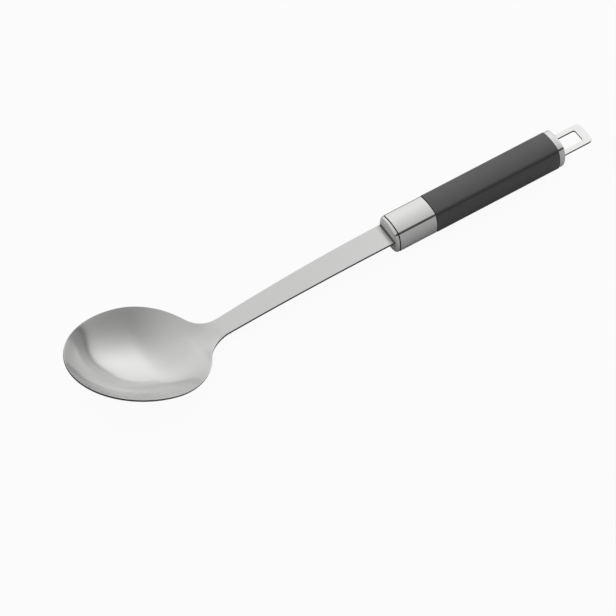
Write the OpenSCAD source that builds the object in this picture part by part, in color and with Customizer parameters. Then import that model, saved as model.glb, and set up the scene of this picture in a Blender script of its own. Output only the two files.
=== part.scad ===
// Serving spoon: a stamped steel blade held in a square, bulging handle with a hanging loop.
// The handle lies along X with the loop at +X and the bowl at -X, and the part is even about Y = 0.
// The spoon lies on its back, and z = 0 is the surface under the grip and the bowl.

/* [Blade] */
// Thickness of the steel sheet of the bowl, shank and tang
sheet_t = 1.5; // [1.2:0.1:2]
// Width of the shank where it leaves the handle
shank_front_w = 15.8; // [14.8:0.1:16.4]
// Width of the shank at the neck, before it widens into the bowl
shank_neck_w = 12.2; // [11:0.1:13.6]
// Length of the shank along its gentle arch, from the handle to the neck bend
shank_len = 113.3; // [95:0.1:130]
// How far the arched shank points down at the neck, in degrees
shank_droop = 6.3; // [5.4:0.1:7]
// Radius of the upward bend at the neck
neck_bend_r = 30; // [22:1:36]
// How far the bowl's rim is turned up towards the tip, in degrees
bowl_lift = 21; // [18:0.5:23]
// Straight length of shank between the front cap and the start of the arch
shank_lead = 1; // [0.5:0.1:2]
// Height of the shank's top face above the handle's centre line
shank_top_rise = 2; // [1.6:0.1:2.4]

/* [Bowl] */
// Widest width of the bowl
bowl_w = 71.2; // [64:0.2:78]
// Length of the bowl from its widest line to the tip
bowl_front_len = 49.1; // [44:0.1:54]
// Length of the bowl's oval from its widest line back to the neck
bowl_back_len = 39; // [35:0.1:42]
// Distance along the rim from the end of the arch to the widest line
neck_to_widest = 46.2; // [43:0.1:50]
// Radius of the fillets that lead from the shank into the bowl's outline
neck_fillet_r = 18.4; // [15:0.1:21]
// Depth of the bowl under its rim
bowl_depth = 15.2; // [12:0.1:17]
// Distance from the widest line back to the deepest place
deepest_back = 4.5; // [2:0.1:7]
// Length of the shallow run-in in front of the bowl's oval
run_in_len = 10; // [8:0.1:12]

/* [Tang] */
// Width of the tang inside the handle
tang_w = 12; // [10:0.1:13]
// Length of the tang behind the ferrule's front edge
tang_len = 66; // [56:1:76]
// Length of the sloping shoulders between the shank and the tang
shoulder_run = 2; // [1.5:0.1:3]
// Chamfer at the tang's end corners
tang_end_cut = 2; // [1:0.1:3]

/* [Handle section] */
// Width and height of the ferrule between its creased corners
edge_w = 16.3; // [15.8:0.1:17.4]
// How far each face bulges out beyond the creases
face_bulge = 1.7; // [1.3:0.1:2]

/* [Ferrule and grip] */
// Length of the polished steel ferrule
ferrule_len = 25; // [20:0.5:32]
// Wall of the ferrule
ferrule_wall = 1; // [0.8:0.1:1.2]
// Length of the black grip
grip_len = 84; // [76:0.5:96]
// How far the grip stands out beyond the ferrule
grip_proud = 0.25; // [0.1:0.05:0.4]
// How much the soft rounding takes off the grip's creases
grip_crease_cut = 0.25; // [0.15:0.05:0.4]

/* [Caps] */
// Length of the front cap ahead of the ferrule
front_cap_len = 3; // [2.6:0.1:4]
// Rounding of the front cap's outer edges
front_cap_round = 2.2; // [1.4:0.1:2.4]
// Length of the end cap behind the grip
end_cap_len = 4; // [3:0.1:5]
// Rounding of the end cap's outer edges
end_cap_round = 1.2; // [0.8:0.1:1.6]
// How far the caps' faces lie inside the ferrule's
cap_inset = 0.15; // [0.05:0.05:0.25]
// Open seam between the front cap's head and the ferrule
seam = 0.3; // [0.2:0.05:0.4]
// Length of the spigots that plug both caps into the handle
spigot_len = 5; // [4:0.1:6]

/* [Hanging loop] */
// Outer width of the loop
loop_w = 15.5; // [15:0.1:16]
// Width of each leg of the loop
loop_leg_w = 3.15; // [2.8:0.05:3.5]
// Reach of the loop behind the end cap
loop_reach = 20.3; // [17:0.1:26]
// Width of the band that closes the loop's end
loop_band = 4.9; // [4:0.1:6]
// Thickness of the loop's plate
loop_t = 1.3; // [1:0.1:1.6]
// Rounding of the loop's outer corners
loop_round = 2.8; // [2.2:0.1:4]
// Rounding of the corners of the hole in the loop
loop_hole_round = 1.5; // [1:0.1:2.2]
// Length of each leg that is held in the core
leg_hold = 12; // [10:0.5:16]

/* [Rivets and pins] */
// Diameter of the two rivets through the tang
rivet_d = 3; // [2.5:0.1:3.5]
// Diameter of the rivets' flat heads
rivet_head_d = 5.4; // [5:0.1:6]
// Height of the rivets' flat heads
rivet_head_h = 1; // [0.8:0.1:1.3]
// Distance of the front rivet behind the front cap's spigot
front_rivet_inset = 12; // [8:0.5:16]
// Distance of the rear rivet from the tang's end
rear_rivet_inset = 9; // [7:0.5:12]
// Diameter of the two pins that hold the loop's legs
loop_pin_d = 1.6; // [1.2:0.1:1.8]
// Distance of those pins from the end of the legs
loop_pin_inset = 5; // [4:0.1:6]
// How deep the ends of rivets and pins lie under the core's faces
fastener_recess = 0.4; // [0.3:0.05:0.6]

/* [Fits] */
// Clearance on each side of a sleeve or a spigot
slide_fit = 0.1; // [0.05:0.01:0.15]
// Clearance on each side of the tang, the shank and the legs in their slots
slot_fit = 0.15; // [0.1:0.01:0.2]
// Clearance round rivets and pins
pin_fit = 0.05; // [0.03:0.01:0.08]

/* [Hidden] */
$fn = 96;
overrun = 1;

// How strongly the shank's sides bow, and how full the bowl's cross and length sections are
side_bow_share = 1.65;
cross_full_share = 2.4;
front_full_share = 2.4;
// How much the bowl's side walls ease off again towards the rim, and how near the rim they do so
rim_ease_share = 0.25;
rim_ease_power = 5;

// Numbers of rows and columns in the blade's surface
SHANK_ROWS = 12;
FILLET_ROWS = 8;
BACK_ROWS = 8;
FRONT_ROWS = 13;
COLUMNS = 16;
SEARCH_STEPS = 24;
// The angles, in degrees, between which the neck's fillet touches the bowl's oval
FILLET_LOW = 1;
FILLET_HIGH = 80;

// Places along the blade, counted from the start of the arch towards the tip
handle_front_s = -(front_cap_len + shank_lead);
shoulder_s = handle_front_s - shoulder_run;
tang_end_s = handle_front_s - tang_len;
arch_r = shank_len / (shank_droop * PI / 180);
bend_len = neck_bend_r * (shank_droop + bowl_lift) * PI / 180;
lift_s = shank_len + bend_len;
widest_s = shank_len + neck_to_widest;
oval_s = widest_s - bowl_back_len;
deepest_s = widest_s - deepest_back;
run_in_s = oval_s - run_in_len;
tip_s = widest_s + bowl_front_len;

// The blade's middle line, seen from the side: [x, z] of the sheet's top face
arch_end = [handle_front_s - arch_r * sin(shank_droop),
            shank_top_rise - arch_r * (1 - cos(shank_droop))];
function bend_at(s) = (s - shank_len) / neck_bend_r * 180 / PI - shank_droop;
function on_bend(pitch) = [arch_end[0] - neck_bend_r * (sin(pitch) + sin(shank_droop)),
                           arch_end[1] + neck_bend_r * (cos(shank_droop) - cos(pitch))];
function pitch_at(s) = s <= 0 ? 0
    : s <= shank_len ? -s / arch_r * 180 / PI
    : s <= lift_s ? bend_at(s)
    : bowl_lift;
function line_at(s) = s <= 0 ? [handle_front_s - s, shank_top_rise]
    : s <= shank_len ? [handle_front_s + arch_r * sin(pitch_at(s)),
                        shank_top_rise - arch_r * (1 - cos(pitch_at(s)))]
    : s <= lift_s ? on_bend(bend_at(s))
    : on_bend(bowl_lift) + (s - lift_s) * [-cos(bowl_lift), sin(bowl_lift)];
function up_at(s) = [sin(pitch_at(s)), cos(pitch_at(s))];

// Half of the blade's width, seen from above
function shank_half(s) = shank_front_w / 2
    - (shank_front_w - shank_neck_w) / 2 * pow(max(s, 0) / shank_len, side_bow_share);
// A fillet that rolls on the oval at the given angle: its centre, and how far it misses the shank
function oval_point(a) = [widest_s - bowl_back_len * cos(a), bowl_w / 2 * sin(a)];
function oval_out(a) = [-bowl_w / 2 * cos(a), bowl_back_len * sin(a)];
function fillet_centre(a) = oval_point(a) + neck_fillet_r * oval_out(a) / norm(oval_out(a));
function fillet_miss(a) = fillet_centre(a)[1] - neck_fillet_r - shank_half(fillet_centre(a)[0]);
function search(low, high, steps) = steps == 0 ? (low + high) / 2
    : fillet_miss((low + high) / 2) > 0 ? search(low, (low + high) / 2, steps - 1)
    : search((low + high) / 2, high, steps - 1);
meet_a = search(FILLET_LOW, FILLET_HIGH, SEARCH_STEPS);
fillet_c = fillet_centre(meet_a);
meet_s = oval_point(meet_a)[0];
function half_at(s) = s < tang_end_s + tang_end_cut ? tang_w / 2 - (tang_end_s + tang_end_cut - s)
    : s <= shoulder_s ? tang_w / 2
    : s < handle_front_s ? tang_w / 2
        + (shank_front_w - tang_w) / 2 * (s - shoulder_s) / shoulder_run
    : s <= fillet_c[0] ? shank_half(s)
    : s <= meet_s ? fillet_c[1] - sqrt(pow(neck_fillet_r, 2) - pow(s - fillet_c[0], 2))
    : s <= widest_s ? bowl_w / 2 * sqrt(max(0, 1 - pow((widest_s - s) / bowl_back_len, 2)))
    : bowl_w / 2 * sqrt(max(0, 1 - pow((s - widest_s) / bowl_front_len, 2)));

// Depth of the bowl's middle line under the rim: a soft run-in at the neck, a full front
function depth_at(s) = s <= run_in_s ? 0
    : s <= deepest_s ? bowl_depth * pow(sin(90 * (s - run_in_s) / (deepest_s - run_in_s)), 2)
    : bowl_depth * (1 - pow((s - deepest_s) / (tip_s - deepest_s), front_full_share));

// A point of the blade: v runs from -1 to 1 across it, and t is the depth into the sheet
function wall_at(v) = 1 - (1 + rim_ease_share) * pow(v, cross_full_share)
    + rim_ease_share * pow(v, rim_ease_power);
function sink(s, v) = depth_at(s) * wall_at(abs(v));
function blade_point(s, v, t) = [line_at(s)[0] - (sink(s, v) + t) * up_at(s)[0],
                                 half_at(s) * v,
                                 line_at(s)[1] - (sink(s, v) + t) * up_at(s)[1]];
rows = concat(
    [tang_end_s, tang_end_s + tang_end_cut, shoulder_s, handle_front_s],
    [for (i = [0 : SHANK_ROWS - 1]) fillet_c[0] * i / SHANK_ROWS],
    [for (i = [0 : FILLET_ROWS - 1]) fillet_c[0] + (meet_s - fillet_c[0]) * i / FILLET_ROWS],
    [for (i = [0 : BACK_ROWS - 1])
        widest_s - bowl_back_len * cos(meet_a + (90 - meet_a) * i / BACK_ROWS)],
    [for (i = [0 : FRONT_ROWS - 1]) widest_s + bowl_front_len * sin(90 * i / FRONT_ROWS)]);
columns = [for (j = [0 : COLUMNS]) sin(90 * (2 * j / COLUMNS - 1))];

// Where the handle lies: its centre line is as high as the grip's and the bowl's undersides need
grip_edge_w = edge_w + 2 * grip_proud;
grip_half = grip_edge_w / 2 + face_bulge;
blade_low = min([for (s = rows) blade_point(s, 0, sheet_t)[2]]);
axis_h = max(grip_half, -blade_low);
grip_end = ferrule_len + grip_len;
cap_end = grip_end + end_cap_len;
loop_end = cap_end + loop_reach;
tip_end = blade_point(tip_s, 0, sheet_t)[0];
handle_front_x = -(tip_end + loop_end) / 2;

// The core's section fits the ferrule, and it fills the handle between the two spigots
bore_edge_w = edge_w - 2 * ferrule_wall;
core_edge_w = bore_edge_w - 2 * slide_fit;
core_half = core_edge_w / 2 + face_bulge;
core_start = spigot_len;
core_end = grip_end - spigot_len;
tang_mid = shank_top_rise - sheet_t / 2;
rivet_places = [core_start + front_rivet_inset, tang_len - rear_rivet_inset];
leg_end = core_end - leg_hold;
leg_middle = (loop_w - loop_leg_w) / 2;
loop_pin_x = leg_end + loop_pin_inset;
loop_pin_half = core_edge_w / 2 - fastener_recess;
steel = "Gainsboro";
bright_steel = "WhiteSmoke";

// Puts a piece that is drawn from the ferrule's front face and the handle's centre line in place
module placed() {
    translate([handle_front_x, 0, axis_h]) children();
}

// A square with creased corners and four bulging faces
module section(edge, bulge) {
    face_r = (pow(edge / 2, 2) + pow(bulge, 2)) / (2 * bulge);
    shift = face_r - edge / 2 - bulge;
    intersection() {
        intersection() {
            translate([shift, 0]) circle(r = face_r);
            translate([-shift, 0]) circle(r = face_r);
        }
        intersection() {
            translate([0, shift]) circle(r = face_r);
            translate([0, -shift]) circle(r = face_r);
        }
    }
}

// A bar of that section along the handle, between two places
module bar(from, to, edge, bulge = face_bulge) {
    translate([from, 0, 0]) rotate([90, 0, 90]) linear_extrude(to - from) section(edge, bulge);
}

// A box given by its lowest and highest corners
module block(low, high) {
    translate(low) cube(high - low);
}

// The outline of a head with two rounded corners at its outer end, which points to -x
module round_nose(from, to, half, r) {
    union() {
        translate([from + r, -half]) square([to - from - r, 2 * half]);
        translate([from, r - half]) square([2 * r, 2 * (half - r)]);
        translate([from + r, half - r]) circle(r = r);
        translate([from + r, r - half]) circle(r = r);
    }
}

// A cap's head, rounded over its four outer edges
module head(length, edge, r) {
    half = edge / 2 + face_bulge;
    intersection() {
        bar(-length, 0, edge);
        translate([0, half + overrun, 0]) rotate([90, 0, 0])
            linear_extrude(2 * (half + overrun)) round_nose(-length, 0, half, r);
        translate([0, 0, -half - overrun])
            linear_extrude(2 * (half + overrun)) round_nose(-length, 0, half, r);
    }
}

// The room that the shank, its shoulders and the tang need
module blade_room() {
    low = shank_top_rise - sheet_t - slot_fit;
    high = shank_top_rise + slot_fit;
    block([-front_cap_len - overrun, -shank_front_w / 2 - slot_fit, low],
          [shoulder_run, shank_front_w / 2 + slot_fit, high]);
    block([0, -tang_w / 2 - slot_fit, low], [tang_len + slot_fit, tang_w / 2 + slot_fit, high]);
}

// The room that the loop's two legs need in the end cap and the core
module leg_room() {
    for (side = [-1, 1]) {
        middle = side * leg_middle;
        reach = loop_leg_w / 2 + slot_fit;
        block([leg_end - slot_fit, middle - reach, -loop_t / 2 - slot_fit],
              [cap_end + overrun, middle + reach, loop_t / 2 + slot_fit]);
    }
}

// Both rivets, or with a clearance the holes and head seats for them
module rivets(fit) {
    half = core_half - fastener_recess;
    for (x = rivet_places) translate([x, 0, 0]) {
        translate([0, 0, -half]) cylinder(h = 2 * half, r = rivet_d / 2 + fit);
        for (z = [-half, half - rivet_head_h]) {
            translate([0, 0, z]) cylinder(h = rivet_head_h, r = rivet_head_d / 2 + fit);
        }
    }
}

// The open seats over the rivets' heads, out to the core's faces
module rivet_seats() {
    half = core_half - fastener_recess;
    for (x = rivet_places) for (z = [half, -half - 2 * overrun]) {
        translate([x, 0, z]) cylinder(h = 2 * overrun, r = rivet_head_d / 2 + pin_fit);
    }
}

// Round bars at the loop's pins, to a given half height
module pin_bars(half, fit) {
    for (side = [-1, 1]) translate([loop_pin_x, side * leg_middle, -half]) {
        cylinder(h = 2 * half, r = loop_pin_d / 2 + fit);
    }
}

// The moulded core before it is split, with the room for all that it holds
module core_body() {
    difference() {
        bar(core_start, core_end, core_edge_w);
        blade_room();
        leg_room();
        rivets(pin_fit);
        rivet_seats();
        pin_bars(core_half + overrun, pin_fit);
    }
}

module spoon_blade() {
    last = len(rows) - 1;
    top = [for (s = rows) for (v = columns) blade_point(s, v, 0)];
    under = [for (s = rows) for (v = columns) blade_point(s, v, sheet_t)];
    tips = [blade_point(tip_s, 0, 0), blade_point(tip_s, 0, sheet_t)];
    wide = COLUMNS + 1;
    deep = len(top);
    tip_top = 2 * deep;
    tip_under = 2 * deep + 1;
    top_faces = [for (i = [0 : last - 1]) for (j = [0 : COLUMNS - 1]) let (a = i * wide + j)
        each [[a, a + wide, a + wide + 1], [a, a + wide + 1, a + 1]]];
    under_faces = [for (f = top_faces) [f[0] + deep, f[2] + deep, f[1] + deep]];
    right_faces = [for (i = [0 : last - 1]) let (a = i * wide)
        each [[a, a + deep, a + deep + wide], [a, a + deep + wide, a + wide]]];
    left_faces = [for (i = [0 : last - 1]) let (a = i * wide + COLUMNS)
        each [[a, a + deep + wide, a + deep], [a, a + wide, a + deep + wide]]];
    end_faces = [for (j = [0 : COLUMNS - 1])
        each [[j, j + 1, j + deep + 1], [j, j + deep + 1, j + deep]]];
    tip_faces = [for (j = [0 : COLUMNS - 1]) let (a = last * wide + j)
        each [[a, tip_top, a + 1], [a + deep, a + deep + 1, tip_under]]];
    corner = last * wide;
    tip_edges = [[corner, corner + deep, tip_under], [corner, tip_under, tip_top],
                 [corner + COLUMNS, tip_under, corner + COLUMNS + deep],
                 [corner + COLUMNS, tip_top, tip_under]];
    color(steel) placed() difference() {
        polyhedron(points = concat(top, under, tips), convexity = 6,
                   faces = concat(top_faces, under_faces, right_faces, left_faces, end_faces,
                                  tip_faces, tip_edges));
        for (x = rivet_places) {
            translate([x, 0, tang_mid - sheet_t]) cylinder(h = 2 * sheet_t, r = rivet_d / 2 + pin_fit);
        }
    }
}

module front_cap() {
    color(bright_steel) placed() difference() {
        union() {
            translate([-seam, 0, 0]) head(front_cap_len - seam, edge_w - 2 * cap_inset, front_cap_round);
            bar(-seam, spigot_len, core_edge_w);
        }
        blade_room();
    }
}

module ferrule() {
    color(bright_steel) placed() difference() {
        bar(0, ferrule_len, edge_w);
        bar(-overrun, ferrule_len + overrun, bore_edge_w);
    }
}

module core_upper() {
    color("DimGray") placed() intersection() {
        core_body();
        block([0, -edge_w, tang_mid], [grip_end, edge_w, edge_w]);
    }
}

module core_lower() {
    color("DimGray") placed() intersection() {
        core_body();
        block([0, -edge_w, -edge_w], [grip_end, edge_w, tang_mid]);
    }
}

module tang_rivets() {
    color(steel) placed() rivets(0);
}

module grip() {
    crease_r = norm([grip_edge_w, grip_edge_w]) / 2 - grip_crease_cut;
    color([0.16, 0.16, 0.17]) placed() difference() {
        intersection() {
            bar(ferrule_len, grip_end, grip_edge_w);
            translate([ferrule_len - overrun, 0, 0]) rotate([0, 90, 0])
                cylinder(h = grip_len + 2 * overrun, r = crease_r);
        }
        bar(ferrule_len - overrun, grip_end + overrun, bore_edge_w);
    }
}

module end_cap() {
    color(bright_steel) placed() difference() {
        union() {
            translate([grip_end, 0, 0]) mirror([1, 0, 0])
                head(end_cap_len, edge_w - 2 * cap_inset, end_cap_round);
            bar(core_end, grip_end, core_edge_w);
        }
        leg_room();
    }
}

// The loop's plate seen from above: a rounded end band and two long legs
module loop_outline() {
    half = loop_w / 2;
    hole_half = half - loop_leg_w;
    hole_end = loop_end - loop_band;
    difference() {
        union() {
            translate([leg_end, -half]) square([loop_end - loop_round - leg_end, loop_w]);
            translate([leg_end, loop_round - half])
                square([loop_end - leg_end, loop_w - 2 * loop_round]);
            for (side = [-1, 1]) {
                translate([loop_end - loop_round, side * (half - loop_round)]) circle(r = loop_round);
            }
        }
        translate([leg_end - overrun, -hole_half])
            square([hole_end - loop_hole_round - leg_end + overrun, 2 * hole_half]);
        translate([leg_end - overrun, loop_hole_round - hole_half])
            square([hole_end - leg_end + overrun, 2 * (hole_half - loop_hole_round)]);
        for (side = [-1, 1]) {
            translate([hole_end - loop_hole_round, side * (hole_half - loop_hole_round)])
                circle(r = loop_hole_round);
        }
    }
}

module hanging_loop() {
    color(bright_steel) placed() difference() {
        translate([0, 0, -loop_t / 2]) linear_extrude(loop_t) loop_outline();
        pin_bars(core_half, pin_fit);
    }
}

module loop_pins() {
    color(steel) placed() pin_bars(loop_pin_half, 0);
}

spoon_blade();
front_cap();
ferrule();
core_upper();
core_lower();
tang_rivets();
grip();
end_cap();
hanging_loop();
loop_pins();
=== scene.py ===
# %% [markdown]
# # A serving spoon, dressed for its portrait
#
# The construction of the spoon is finished before this script starts: every piece has its real size
# and its place. This lesson gives those pieces their finished skin, their materials, a studio and a
# camera. The spoon lies on its back along X, with the bowl at -X and the hanging loop at +X, and
# z = 0 is the table.

# %% Load the frame
import math

import bmesh
import bpy
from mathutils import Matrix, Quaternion, Vector


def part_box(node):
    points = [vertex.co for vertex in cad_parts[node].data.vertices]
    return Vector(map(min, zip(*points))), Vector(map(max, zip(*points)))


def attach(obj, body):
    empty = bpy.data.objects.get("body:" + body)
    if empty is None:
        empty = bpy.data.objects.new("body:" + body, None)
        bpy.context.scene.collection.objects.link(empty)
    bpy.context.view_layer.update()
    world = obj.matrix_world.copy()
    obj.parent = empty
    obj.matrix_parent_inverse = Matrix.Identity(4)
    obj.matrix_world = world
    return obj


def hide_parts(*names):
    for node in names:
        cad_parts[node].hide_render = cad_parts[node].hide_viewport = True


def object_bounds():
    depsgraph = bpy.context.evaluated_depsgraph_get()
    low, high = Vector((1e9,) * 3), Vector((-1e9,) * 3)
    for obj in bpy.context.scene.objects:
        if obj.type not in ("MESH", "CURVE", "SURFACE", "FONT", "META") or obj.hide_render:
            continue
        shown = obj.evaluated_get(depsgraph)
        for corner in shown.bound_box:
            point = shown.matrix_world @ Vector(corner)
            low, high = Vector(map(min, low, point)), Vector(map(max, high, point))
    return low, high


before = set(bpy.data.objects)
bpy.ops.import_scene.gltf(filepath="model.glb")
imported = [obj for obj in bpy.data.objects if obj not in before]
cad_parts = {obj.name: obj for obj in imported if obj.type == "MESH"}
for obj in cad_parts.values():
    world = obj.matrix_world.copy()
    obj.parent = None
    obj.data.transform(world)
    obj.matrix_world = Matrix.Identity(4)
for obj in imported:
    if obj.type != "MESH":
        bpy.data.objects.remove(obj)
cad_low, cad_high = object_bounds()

print("pieces of the spoon:", ", ".join(sorted(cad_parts)))

# %% [markdown]
# ## Units, places and colours
#
# A maker thinks in millimetres along the handle, and Blender thinks in metres. One function carries
# a point from the first to the second: x counts from the ferrule's front edge towards the loop, and
# z from the handle's middle line. Colours are written as sRGB hex values, the way a colour picker
# shows them, but light adds up in linear values, so a second function turns them.

# %% Places and colours
MM = 0.001
ferrule_low, ferrule_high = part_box("ferrule")
front_x = ferrule_low.x
axis_z = (ferrule_low.z + ferrule_high.z) / 2


def at(x, y, z):
    """A point in mm from the middle of the ferrule's front edge, as a place in metres."""
    return Vector((front_x + x * MM, y * MM, axis_z + z * MM))


def paint(hex_value):
    """The linear colour of an sRGB hex value such as #c0c0c0."""
    levels = [int(hex_value[i:i + 2], 16) / 255 for i in (1, 3, 5)]
    return [v / 12.92 if v <= 0.04045 else ((v + 0.055) / 1.055) ** 2.4 for v in levels] + [1]


def steps(low, high, count):
    """Evenly spaced values from low to high, with both ends."""
    return [low + (high - low) * i / count for i in range(count + 1)]


print("the handle's middle line is", round(axis_z / MM, 2), "mm above the table")

# %% [markdown]
# ## One helper for every node tree
#
# Materials and Geometry Nodes are both trees of nodes. Adding a node by hand takes three or four
# lines each time, so one helper adds a node, sets its options, and fills its sockets in order. A
# value that is itself a node or a socket is linked, and any other value is typed in. A socket is
# given by its number or its name: a Mix node for colours keeps its two tones in sockets 6 and 7, and
# gives its result as output 2. A second helper starts an empty material.

# %% The node helper
def add(tree, kind, *values, named=None, **options):
    """Adds a node: values fill its sockets in order, and named fills them by name."""
    node = tree.nodes.new(kind)
    for option, choice in options.items():
        setattr(node, option, choice)
    for socket, value in list(enumerate(values)) + list((named or {}).items()):
        if value is None:
            continue
        if isinstance(value, bpy.types.Node):
            value = value.outputs[0]
        if isinstance(value, bpy.types.NodeSocket):
            tree.links.new(value, node.inputs[socket])
        else:
            node.inputs[socket].default_value = value
    return node


def new_material(name):
    """An empty node material, and its tree."""
    material = bpy.data.materials.new(name)
    material.use_nodes = True
    material.node_tree.nodes.clear()
    return material, material.node_tree


print("two helpers are ready: add and new_material")

# %% [markdown]
# ## The blade's steel: satin stainless sheet
#
# The blade is 18/10 stainless steel, stamped from sheet and then brushed with a fine abrasive band.
# To the eye that is a pale, almost neutral metal whose reflections are drawn out into soft veils:
# brighter across the brush lines than along them. The real lines are about 0.05 mm apart, far finer
# than a pixel here, so they are drawn as streaks 0.5 mm wide and a few centimetres long. They follow
# the blade's own map, which is the flat sheet before it was pressed, so they run round every bend.
# The cut edge, the creases, the seams and the slots are painted darker than the steel: painted shade,
# and along the creases a painted dark reflection, which draw dark lines round the outline. Each face
# notes how much painted shade it takes, and both steels read that note. A noise mostly stays between
# 0.3 and 0.7, so that span is what gets stretched over a range of roughness.

# %% Satin steel
STREAK_W = 0.5 * MM
STREAK_L = 30 * MM
CLOUD = 25 * MM
NOISE_SPAN = (0.3, 0.7)
SATIN_ROUGH = (0.11, 0.15)
# The colour of the painted shade on cut edges, creases, seams and slots.
SHADE_STEEL_COLOUR = "#545452"


def add_painted_shade(tree, tone):
    """The steel's colour, with painted shade mixed in where a face's note asks for it."""
    painted_shade = add(tree, "ShaderNodeAttribute", attribute_name="painted_shade").outputs["Fac"]
    return add(tree, "ShaderNodeMix", data_type="RGBA", named={
        "Factor": painted_shade, 6: tone, 7: paint(SHADE_STEEL_COLOUR)})


def satin_steel():
    """Stainless sheet brushed along its length."""
    material, tree = new_material("satin_stainless_sheet")
    flat = add(tree, "ShaderNodeUVMap", uv_map="sheet")
    lines = add(tree, "ShaderNodeMapping", flat, None, None, (1 / STREAK_L, 1 / STREAK_W, 1))
    streak = add(tree, "ShaderNodeTexNoise", lines, named={"Scale": 1.0, "Detail": 3.0})
    place = add(tree, "ShaderNodeTexCoord").outputs["Object"]
    cloud = add(tree, "ShaderNodeTexNoise", place, named={"Scale": 1 / CLOUD, "Detail": 2.0})
    tone = add(tree, "ShaderNodeMix", data_type="RGBA", named={
        "Factor": cloud.outputs["Fac"], 6: paint("#d7d7d6"), 7: paint("#dbdbda")})
    tone = add_painted_shade(tree, tone.outputs[2])
    rough = add(tree, "ShaderNodeMapRange", streak.outputs["Fac"], *NOISE_SPAN, *SATIN_ROUGH)
    relief = add(tree, "ShaderNodeBump", named={
        "Height": streak.outputs["Fac"], "Strength": 0.12, "Distance": 0.02 * MM})
    brushed = add(tree, "ShaderNodeTangent", direction_type="UV_MAP", uv_map="sheet")
    shader = add(tree, "ShaderNodeBsdfPrincipled", named={
        "Base Color": tone.outputs[2], "Metallic": 1.0, "Roughness": rough, "Normal": relief,
        "Anisotropic": 0.35, "Tangent": brushed})
    add(tree, "ShaderNodeOutputMaterial", shader)
    return material


steel = satin_steel()
print("made", steel.name)

# %% [markdown]
# ## The fittings' steel: mirror polished
#
# The ferrule and both caps are the same steel, but buffed on a wheel until it mirrors the room.
# Buffing leaves a faint haze and very shallow waves a few millimetres long, which is what makes a
# reflection in real polished sheet swim a little. Both are here as noise, with almost no depth. The
# loop is the same steel, but it gets a paler copy of it: painted light, which makes the loop read
# brighter than the other fittings.

# %% Polished steel
WAVE = 6 * MM
HAZE = 1.5 * MM
POLISHED_ROUGH = (0.07, 0.11)


def polished_steel(name, darkest, palest):
    """Stainless steel polished to a mirror, with a faint haze."""
    material, tree = new_material(name)
    place = add(tree, "ShaderNodeTexCoord").outputs["Object"]
    wave = add(tree, "ShaderNodeTexNoise", place, named={"Scale": 1 / WAVE, "Detail": 1.0})
    haze = add(tree, "ShaderNodeTexNoise", place, named={"Scale": 1 / HAZE, "Detail": 4.0})
    rough = add(tree, "ShaderNodeMapRange", haze.outputs["Fac"], *NOISE_SPAN, *POLISHED_ROUGH)
    tone = add(tree, "ShaderNodeMix", data_type="RGBA", named={
        "Factor": wave.outputs["Fac"], 6: paint(darkest), 7: paint(palest)})
    tone = add_painted_shade(tree, tone.outputs[2])
    relief = add(tree, "ShaderNodeBump", named={
        "Height": wave.outputs["Fac"], "Strength": 0.1, "Distance": 0.02 * MM})
    shader = add(tree, "ShaderNodeBsdfPrincipled", named={
        "Base Color": tone.outputs[2], "Metallic": 1.0, "Roughness": rough, "Normal": relief})
    add(tree, "ShaderNodeOutputMaterial", shader)
    return material


bright = polished_steel("buffed_stainless_fittings", "#e1e1e0", "#e5e5e4")
# The loop's paler copy of the same steel is painted light.
painted_lighter_steel = polished_steel("buffed_stainless_loop_painted_lighter", "#f0f0ef", "#f4f4f3")
print("made", bright.name, "and", painted_lighter_steel.name)

# %% [markdown]
# ## The grip's plastic
#
# The grip is moulded in black plastic from a mould that was spark eroded, which prints a fine
# leathery grain of about 0.8 mm on it. The grain scatters the highlight, so the black looks dark grey
# where the light strikes it and deep black where it does not.

# %% Matt black plastic
GRAIN = 0.8 * MM
PATCH = 9 * MM
GRIP_ROUGH = (0.42, 0.48)


def grip_plastic():
    """Black moulded plastic with a fine spark-eroded grain."""
    material, tree = new_material("matt_black_moulded_grip")
    place = add(tree, "ShaderNodeTexCoord").outputs["Object"]
    grain = add(tree, "ShaderNodeTexNoise", place, named={"Scale": 1 / GRAIN, "Detail": 3.0})
    patch = add(tree, "ShaderNodeTexNoise", place, named={"Scale": 1 / PATCH, "Detail": 2.0})
    tone = add(tree, "ShaderNodeMix", data_type="RGBA", named={
        "Factor": patch.outputs["Fac"], 6: paint("#18181a"), 7: paint("#1d1d1e")})
    rough = add(tree, "ShaderNodeMapRange", patch.outputs["Fac"], *NOISE_SPAN, *GRIP_ROUGH)
    relief = add(tree, "ShaderNodeBump", named={
        "Height": grain.outputs["Fac"], "Strength": 0.3, "Distance": 0.06 * MM})
    shader = add(tree, "ShaderNodeBsdfPrincipled", named={
        "Base Color": tone.outputs[2], "Roughness": rough, "Normal": relief, "IOR": 1.64,
        "Specular IOR Level": 1.0})
    add(tree, "ShaderNodeOutputMaterial", shader)
    return material


grip_black = grip_plastic()
print("made", grip_black.name)

# %% [markdown]
# ## The hidden pieces' materials
#
# The core inside the handle is moulded nylon, black and slightly waxy, with the flow marks that a
# thick moulding shows. The rivets and pins are drawn wire: the drawing die leaves fine lines along
# them, here 0.2 mm apart. They show only when the handle is taken apart, but a part that is opened on
# a bench should still look right.

# %% Nylon and drawn wire
FLOW = 7 * MM
NYLON_ROUGH = (0.48, 0.6)
DIE_LINE = 0.2 * MM
DIE_LINE_STRETCH = 50
WIRE_ROUGH = (0.25, 0.38)


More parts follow.
